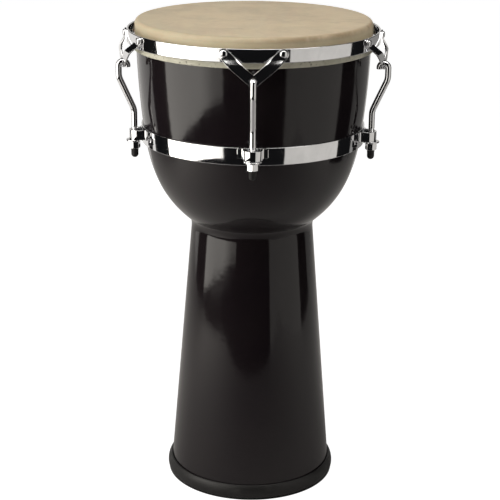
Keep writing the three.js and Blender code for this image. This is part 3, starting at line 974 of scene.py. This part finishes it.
def lacquer_finish():
    """Gloss black: a faint orange peel, wipe marks and a little dust."""
    f = Finish("gloss_black_lacquer")
    black = (0.0092, 0.0066, 0.0082)
    paler_black = (0.0125, 0.0095, 0.0105)
    dust_grey = (0.06, 0.058, 0.055)
    clouds = f.noise(9, detail=3, roughness=0.55)
    wipes = f.noise(60, detail=4, roughness=0.6, distortion=0.6, place=f.stretched((1, 1, 0.25)))
    dust = f.spread(f.noise(1500, detail=1, roughness=0.4), 0.71, 0.8)
    orange_peel = f.noise(140, detail=1, roughness=0.4)
    colour = f.mixed(f.spread(clouds, 0.3, 0.7), black, paler_black)
    colour = f.mixed(f.times(dust, 0.25), colour, dust_grey)
    rough = f.spread(wipes, 0.25, 0.75, to_low=0.07, to_high=0.12)
    rough = f.math("ADD", rough, f.times(dust, 0.1))
    f.set(Base_Color=colour, Roughness=rough, IOR=1.47)
    f.bumps((orange_peel, 0.03 * MM))
    return f.material


def raw_inside_finish():
    """The shell's inside: rough dark resin over chopped strands."""
    f = Finish("raw_resin_inside")
    dark_resin = (0.012, 0.011, 0.010)
    pale_resin = (0.03, 0.028, 0.025)
    strand_brown = (0.055, 0.05, 0.042)
    strands = f.noise(220, detail=3, roughness=0.6, distortion=1.2, place=f.stretched((1, 1, 0.4)))
    clouds = f.noise(18, detail=3)
    colour = f.mixed(f.spread(clouds, 0.3, 0.7), dark_resin, pale_resin)
    colour = f.mixed(f.spread(strands, 0.5, 0.72), colour, strand_brown)
    rough = f.spread(strands, 0.3, 0.7, to_low=0.5, to_high=0.75)
    f.set(Base_Color=colour, Roughness=rough)
    f.bumps((strands, 0.6 * MM))
    return f.material


def chrome_finish():
    """Bright chrome plate: slight waviness in the steel, smudges and fine pits."""
    f = Finish("chrome_plate")
    bright = (0.88, 0.885, 0.9)
    smudged = (0.80, 0.805, 0.82)
    pitted = (0.45, 0.44, 0.43)
    smudge = f.noise(45, detail=4, roughness=0.62, distortion=0.4)
    pits = f.spread(f.noise(900), 0.7, 0.78)
    waves = f.noise(55, detail=1, roughness=0.4)
    grain = f.noise(700)
    colour = f.mixed(f.spread(smudge, 0.35, 0.75), bright, smudged)
    colour = f.mixed(f.times(pits, 0.4), colour, pitted)
    rough = f.spread(smudge, 0.3, 0.75, to_low=0.045, to_high=0.10)
    rough = f.math("ADD", rough, f.times(pits, 0.12))
    f.set(Base_Color=colour, Roughness=rough, Metallic=1.0)
    f.bumps((waves, 0.04 * MM), (grain, 0.004 * MM))
    return f.material


def hide_finish():
    """Natural hide: mottled cream, faint veins and pores, darker in patches where it bends over the edge
    at the front, with painted shade towards its left and painted light on its collar.
    """
    f = Finish("natural_hide")
    x, y, z = f.axes()
    radius = f.math("SQRT", f.math("ADD", f.times(x, x), f.times(y, y)))

    cream = (0.67, 0.55, 0.37)
    tan = (0.545, 0.445, 0.305)
    pale_cream = (0.69, 0.585, 0.43)
    blotch_brown = (0.43, 0.335, 0.215)
    vein_brown = (0.44, 0.33, 0.2)
    pore_brown = (0.42, 0.335, 0.225)
    clouds = f.noise(14, detail=4, roughness=0.55, distortion=0.3)
    mottle = f.noise(70, detail=5, roughness=0.62, distortion=0.8)
    grain = f.noise(620, detail=4, roughness=0.6)
    veins = f.noise(26, detail=6, roughness=0.68, distortion=1.6, place=f.stretched((1.0, 2.2, 1.0)))
    vein_lines = f.times(f.spread(veins, 0.46, 0.5), f.spread(veins, 0.54, 0.5))
    along_hide = f.stretched((0.6, 1.5, 1.0))
    blotches = f.noise(38, detail=3, roughness=0.6, distortion=0.6, place=along_hide)
    colour = f.mixed(f.spread(clouds, 0.3, 0.7), cream, tan)
    colour = f.mixed(f.spread(mottle, 0.4, 0.68, to_high=0.6), colour, pale_cream)
    colour = f.mixed(f.spread(blotches, 0.54, 0.7, to_high=0.3), colour, blotch_brown)
    colour = f.mixed(f.times(vein_lines, 0.16), colour, vein_brown)
    colour = f.mixed(f.spread(grain, 0.62, 0.74, to_high=0.4), colour, pore_brown)

    edge_brown = (0.35, 0.255, 0.145)
    pale_straw = (0.60, 0.53, 0.36)
    edge_tan = (0.40, 0.345, 0.24)
    painted_shade_tan = (0.42, 0.36, 0.25)
    painted_light_cream = (0.76, 0.66, 0.46)
    right_front = f.spread(f.math("SUBTRACT", x, y), 140 * MM, 210 * MM)
    left_front = f.spread(f.math("SUBTRACT", f.times(x, -1.0), y), 100 * MM, 210 * MM)
    patches = f.spread(f.noise(24, detail=4, roughness=0.6, distortion=0.5), 0.3, 0.56)
    small_patches = f.spread(f.noise(40, detail=3, roughness=0.6), 0.35, 0.6)
    brown = f.times(f.times(f.spread(radius, 152 * MM, 155.5 * MM), right_front), patches)
    colour = f.mixed(f.times(brown, 0.75), colour, edge_brown)
    pale = f.times(f.times(f.spread(radius, 122 * MM, 150 * MM), left_front), small_patches)
    colour = f.mixed(f.times(pale, 0.5), colour, pale_straw)
    left_edge = f.times(f.spread(radius, 146 * MM, 153 * MM), left_front)
    colour = f.mixed(f.times(left_edge, 0.35), colour, edge_tan)
    # painted shade: the hide grows darker tan towards its left side
    colour = f.mixed(f.spread(x, -70 * MM, -150 * MM, to_high=0.22), colour, painted_shade_tan)
    # painted light: the collar below the bend is made paler cream everywhere except on the left side
    collar = f.times(f.spread(z, 643 * MM, 636 * MM), f.spread(x, -160 * MM, -20 * MM))
    colour = f.mixed(f.times(collar, 0.75), colour, painted_light_cream)

    rough = f.spread(mottle, 0.3, 0.7, to_low=0.48, to_high=0.62)
    f.set(Base_Color=colour, Roughness=rough, IOR=1.45)
    f.set(Subsurface_Weight=0.08, Subsurface_Scale=4 * MM)
    f.set(Sheen_Weight=0.05, Sheen_Roughness=0.5)
    f.bumps((mottle, 0.12 * MM), (grain, 0.06 * MM))
    return f.material


def lapped_hide_finish():
    """Hide lapped round the flesh hoop: greyer, dry and speckled."""
    f = Finish("lapped_hide")
    olive_cream = (0.56, 0.545, 0.43)
    pale_cream = (0.70, 0.68, 0.56)
    streak_cream = (0.78, 0.76, 0.65)
    speck_brown = (0.13, 0.11, 0.07)
    clouds = f.noise(48, detail=4, roughness=0.6, distortion=0.4)
    streaks = f.noise(120, detail=3, roughness=0.6, distortion=0.5, place=f.stretched((1, 1, 2.6)))
    specks = f.spread(f.noise(260, detail=3, roughness=0.6), 0.6, 0.68)
    grain = f.noise(700, detail=3, roughness=0.6)
    colour = f.mixed(f.spread(clouds, 0.3, 0.7), olive_cream, pale_cream)
    colour = f.mixed(f.spread(streaks, 0.4, 0.75, to_high=0.5), colour, streak_cream)
    colour = f.mixed(f.times(specks, 0.7), colour, speck_brown)
    f.set(Base_Color=colour, Roughness=0.72, IOR=1.45)
    f.set(Sheen_Weight=0.08, Sheen_Roughness=0.5)
    f.bumps((streaks, 0.3 * MM), (grain, 0.1 * MM))
    return f.material


def rubber_finish():
    """Moulded black rubber: satin, with a fine grain and scuffs."""
    f = Finish("black_rubber")
    black = (0.008, 0.0075, 0.0075)
    scuffed = (0.019, 0.018, 0.0175)
    grain = f.noise(900, detail=3, roughness=0.6)
    scuffs = f.noise(70, detail=5, roughness=0.65, distortion=0.5, place=f.stretched((1, 1, 2)))
    colour = f.mixed(f.spread(scuffs, 0.45, 0.8), black, scuffed)
    rough = f.spread(scuffs, 0.3, 0.7, to_low=0.4, to_high=0.55)
    f.set(Base_Color=colour, Roughness=rough, IOR=1.45)
    f.bumps((grain, 0.05 * MM))
    return f.material


# ---------- studio ----------


def make_camera():
    """The photograph's viewpoint: in front of the drum, looking down by 18 degrees."""
    from_straight_down = math.radians(71.91)
    roll = math.radians(0.508)
    camera = bpy.data.objects.new("camera", bpy.data.cameras.new("camera"))
    camera.data.sensor_width = 36
    camera.data.lens = 104.4
    camera.data.shift_x = -0.0037
    camera.location = (0, -1.9116, 0.9482)
    aim = Matrix.Rotation(from_straight_down, 4, "X") @ Matrix.Rotation(roll, 4, "Z")
    camera.rotation_euler = aim.to_euler()
    bpy.context.scene.collection.objects.link(camera)
    bpy.context.scene.camera = camera


def softbox(name, centre, aim, size, radiance):
    """A rectangular light of an even radiance, unseen by the camera."""
    light = bpy.data.lights.new(name, "AREA")
    light.shape = "RECTANGLE"
    light.size, light.size_y = size
    light.energy = radiance * math.pi * size[0] * size[1]
    light.color = (1.03, 1.0, 0.96)
    facing = (Vector(aim) - Vector(centre)).to_track_quat("-Z", "Y").to_matrix().to_4x4()
    obj = bpy.data.objects.new(name, light)
    obj.matrix_world = Matrix.Translation(centre) @ facing
    obj.visible_camera = False
    bpy.context.scene.collection.objects.link(obj)


def glowing_panel(name, stations, top, colour, front, back):
    """An upright panel through (x, y, lower edge) stations, whose glow grows from front to back."""
    front_y, back_y = -1.2, -0.8
    f = Finish(name)
    glow = f.spread(f.axes()["Y"], front_y, back_y, to_low=front, to_high=back)
    f.set(Base_Color=(0, 0, 0, 1), Roughness=1.0, Emission_Color=(*colour, 1), Emission_Strength=glow)
    verts = stations + [(x, y, top) for x, y, _ in stations]
    count = len(stations)
    faces = [[i, i + 1, count + i + 1, count + i] for i in range(count - 1)]
    panel = mesh_object(name, verts, faces)
    panel.data.materials.append(f.material)
    panel.visible_camera = False
    panel.visible_shadow = False


def make_lights():
    """A bent key panel at the left, a dim board at the right, and softboxes above and behind."""
    key = [
        (-1.05, -0.02, 0.06),
        (-1.05, -0.45, 0.09),
        (-0.98, -0.9, 0.095),
        (-0.84, -1.1, 0.11),
        (-0.66, -1.24, 0.125),
    ]
    glowing_panel("key_left", key, top=1.8, colour=(1.04, 1.0, 0.93), front=1.25, back=2.8)
    board = [(1.05, 0, -0.45), (1.05, -1.74, -0.45)]
    glowing_panel("board_right", board, top=1.5, colour=(1.04, 1.0, 0.94), front=0.53, back=0.56)
    softbox("overhead", (0, -0.42, 1.9), aim=(0, -0.42, 0), size=(2.4, 0.76), radiance=2.9)
    for name, side, radiance in (("backdrop_left", -1, 0.78), ("backdrop_right", 1, 0.24)):
        centre = (1.25 * side, 1.25, 0.05)
        softbox(name, centre, aim=(0.2 * side, 0, 0.05), size=(1.3, 1.3), radiance=radiance)
    softbox("backdrop_middle", (0, 1.6, 0.7), aim=(0, 0, 0.5), size=(1.6, 2.2), radiance=0.55)


def plane(name, corners, height):
    """A flat polygon of the stage."""
    obj = mesh_object(name, [(x, y, height) for x, y in corners], [list(range(len(corners)))])
    return obj


def make_floor():
    """A white floor that only the camera sees, with a painted contact shadow: a thin dark ring round the
    foot.
    """
    shadow_centre = (0, -1.8 * MM, 0)
    shadow_reach = (115.8 * MM, 117.2 * MM)
    shadow_grey = (0.01, 0.01, 0.01)
    floor_grey = (0.25, 0.25, 0.25)
    far = 30
    f = Finish("pale_floor")
    # painted contact shadow: the floor's glow fades to dark in a thin ring round the foot
    clear_of_foot = f.spread(f.distance_from(shadow_centre), *shadow_reach)
    tone = f.mixed(clear_of_foot, shadow_grey, floor_grey)
    f.set(Base_Color=tone, Roughness=0.9, Emission_Color=(1, 1, 1, 1), Emission_Strength=clear_of_foot)
    floor = plane("pale_floor", [(-far, -far), (far, -far), (far, far), (-far, far)], -0.1 * MM)
    floor.data.materials.append(f.material)
    for ray in ("diffuse", "glossy", "transmission", "shadow"):
        setattr(floor, f"visible_{ray}", False)


def make_table_top():
    """The lit table that the drum stands on and mirrors, unseen by the camera, with painted shade: its
    colour darkens towards a spot in front of the drum.
    """
    painted_shade_centre = (0.05, -0.75, 0)
    dark_tone = (0.27, 0.26, 0.27)
    pale_tone = (0.82, 0.81, 0.80)
    f = Finish("table_top")
    # painted shade: darker towards the spot in front of the drum, paler away from it
    paler = f.spread(f.distance_from(painted_shade_centre), 0.15, 1.3)
    f.set(Base_Color=f.mixed(paler, dark_tone, pale_tone), Roughness=0.8)
    cut_corner = [(-1.0, -0.42), (-0.85, -0.7), (-0.7, -0.82)]
    corners = [*cut_corner, (0.4, -0.83), (0.95, -0.95), (0.98, 1.2), (-1.12, 1.2), (-1.12, -0.1)]
    table = plane("table_top", corners, -0.5 * MM)
    table.data.materials.append(f.material)
    table.visible_camera = False


def make_world():
    """White behind the object for the camera, and a dim room for light and reflections."""
    world = bpy.data.worlds.new("studio")
    bpy.context.scene.world = world
    world.use_nodes = True
    tree = world.node_tree
    room = tree.nodes["Background"]
    room.inputs["Color"].default_value = (0.006, 0.006, 0.0065, 1)
    white = tree.nodes.new("ShaderNodeBackground")
    white.inputs["Color"].default_value = (1, 1, 1, 1)
    white.inputs["Strength"].default_value = 1.05
    rays = tree.nodes.new("ShaderNodeLightPath")
    mix = tree.nodes.new("ShaderNodeMixShader")
    tree.links.new(rays.outputs["Is Camera Ray"], mix.inputs["Fac"])
    tree.links.new(room.outputs["Background"], mix.inputs[1])
    tree.links.new(white.outputs["Background"], mix.inputs[2])
    tree.links.new(mix.outputs["Shader"], tree.nodes["World Output"].inputs["Surface"])


# ---------- assembly ----------

make_camera()
bpy.context.scene.view_settings.view_transform = "Standard"
make_world()
make_lights()
make_floor()
make_table_top()

chrome = (chrome_finish(), "chrome")
rubber = (rubber_finish(), "rubber")
make_shell((lacquer_finish(), "black_lacquer"), raw_inside_finish())
make_foot_ring(rubber)
make_belly_band(chrome)
make_head(hide_finish())
make_flesh_hoop((lapped_hide_finish(), "lapped_hide"))
make_tension_hoop(chrome)
for lug in range(LUG_COUNT):
    make_lug(lug + 1, FRONT + lug * FULL_TURN / LUG_COUNT, chrome, rubber)
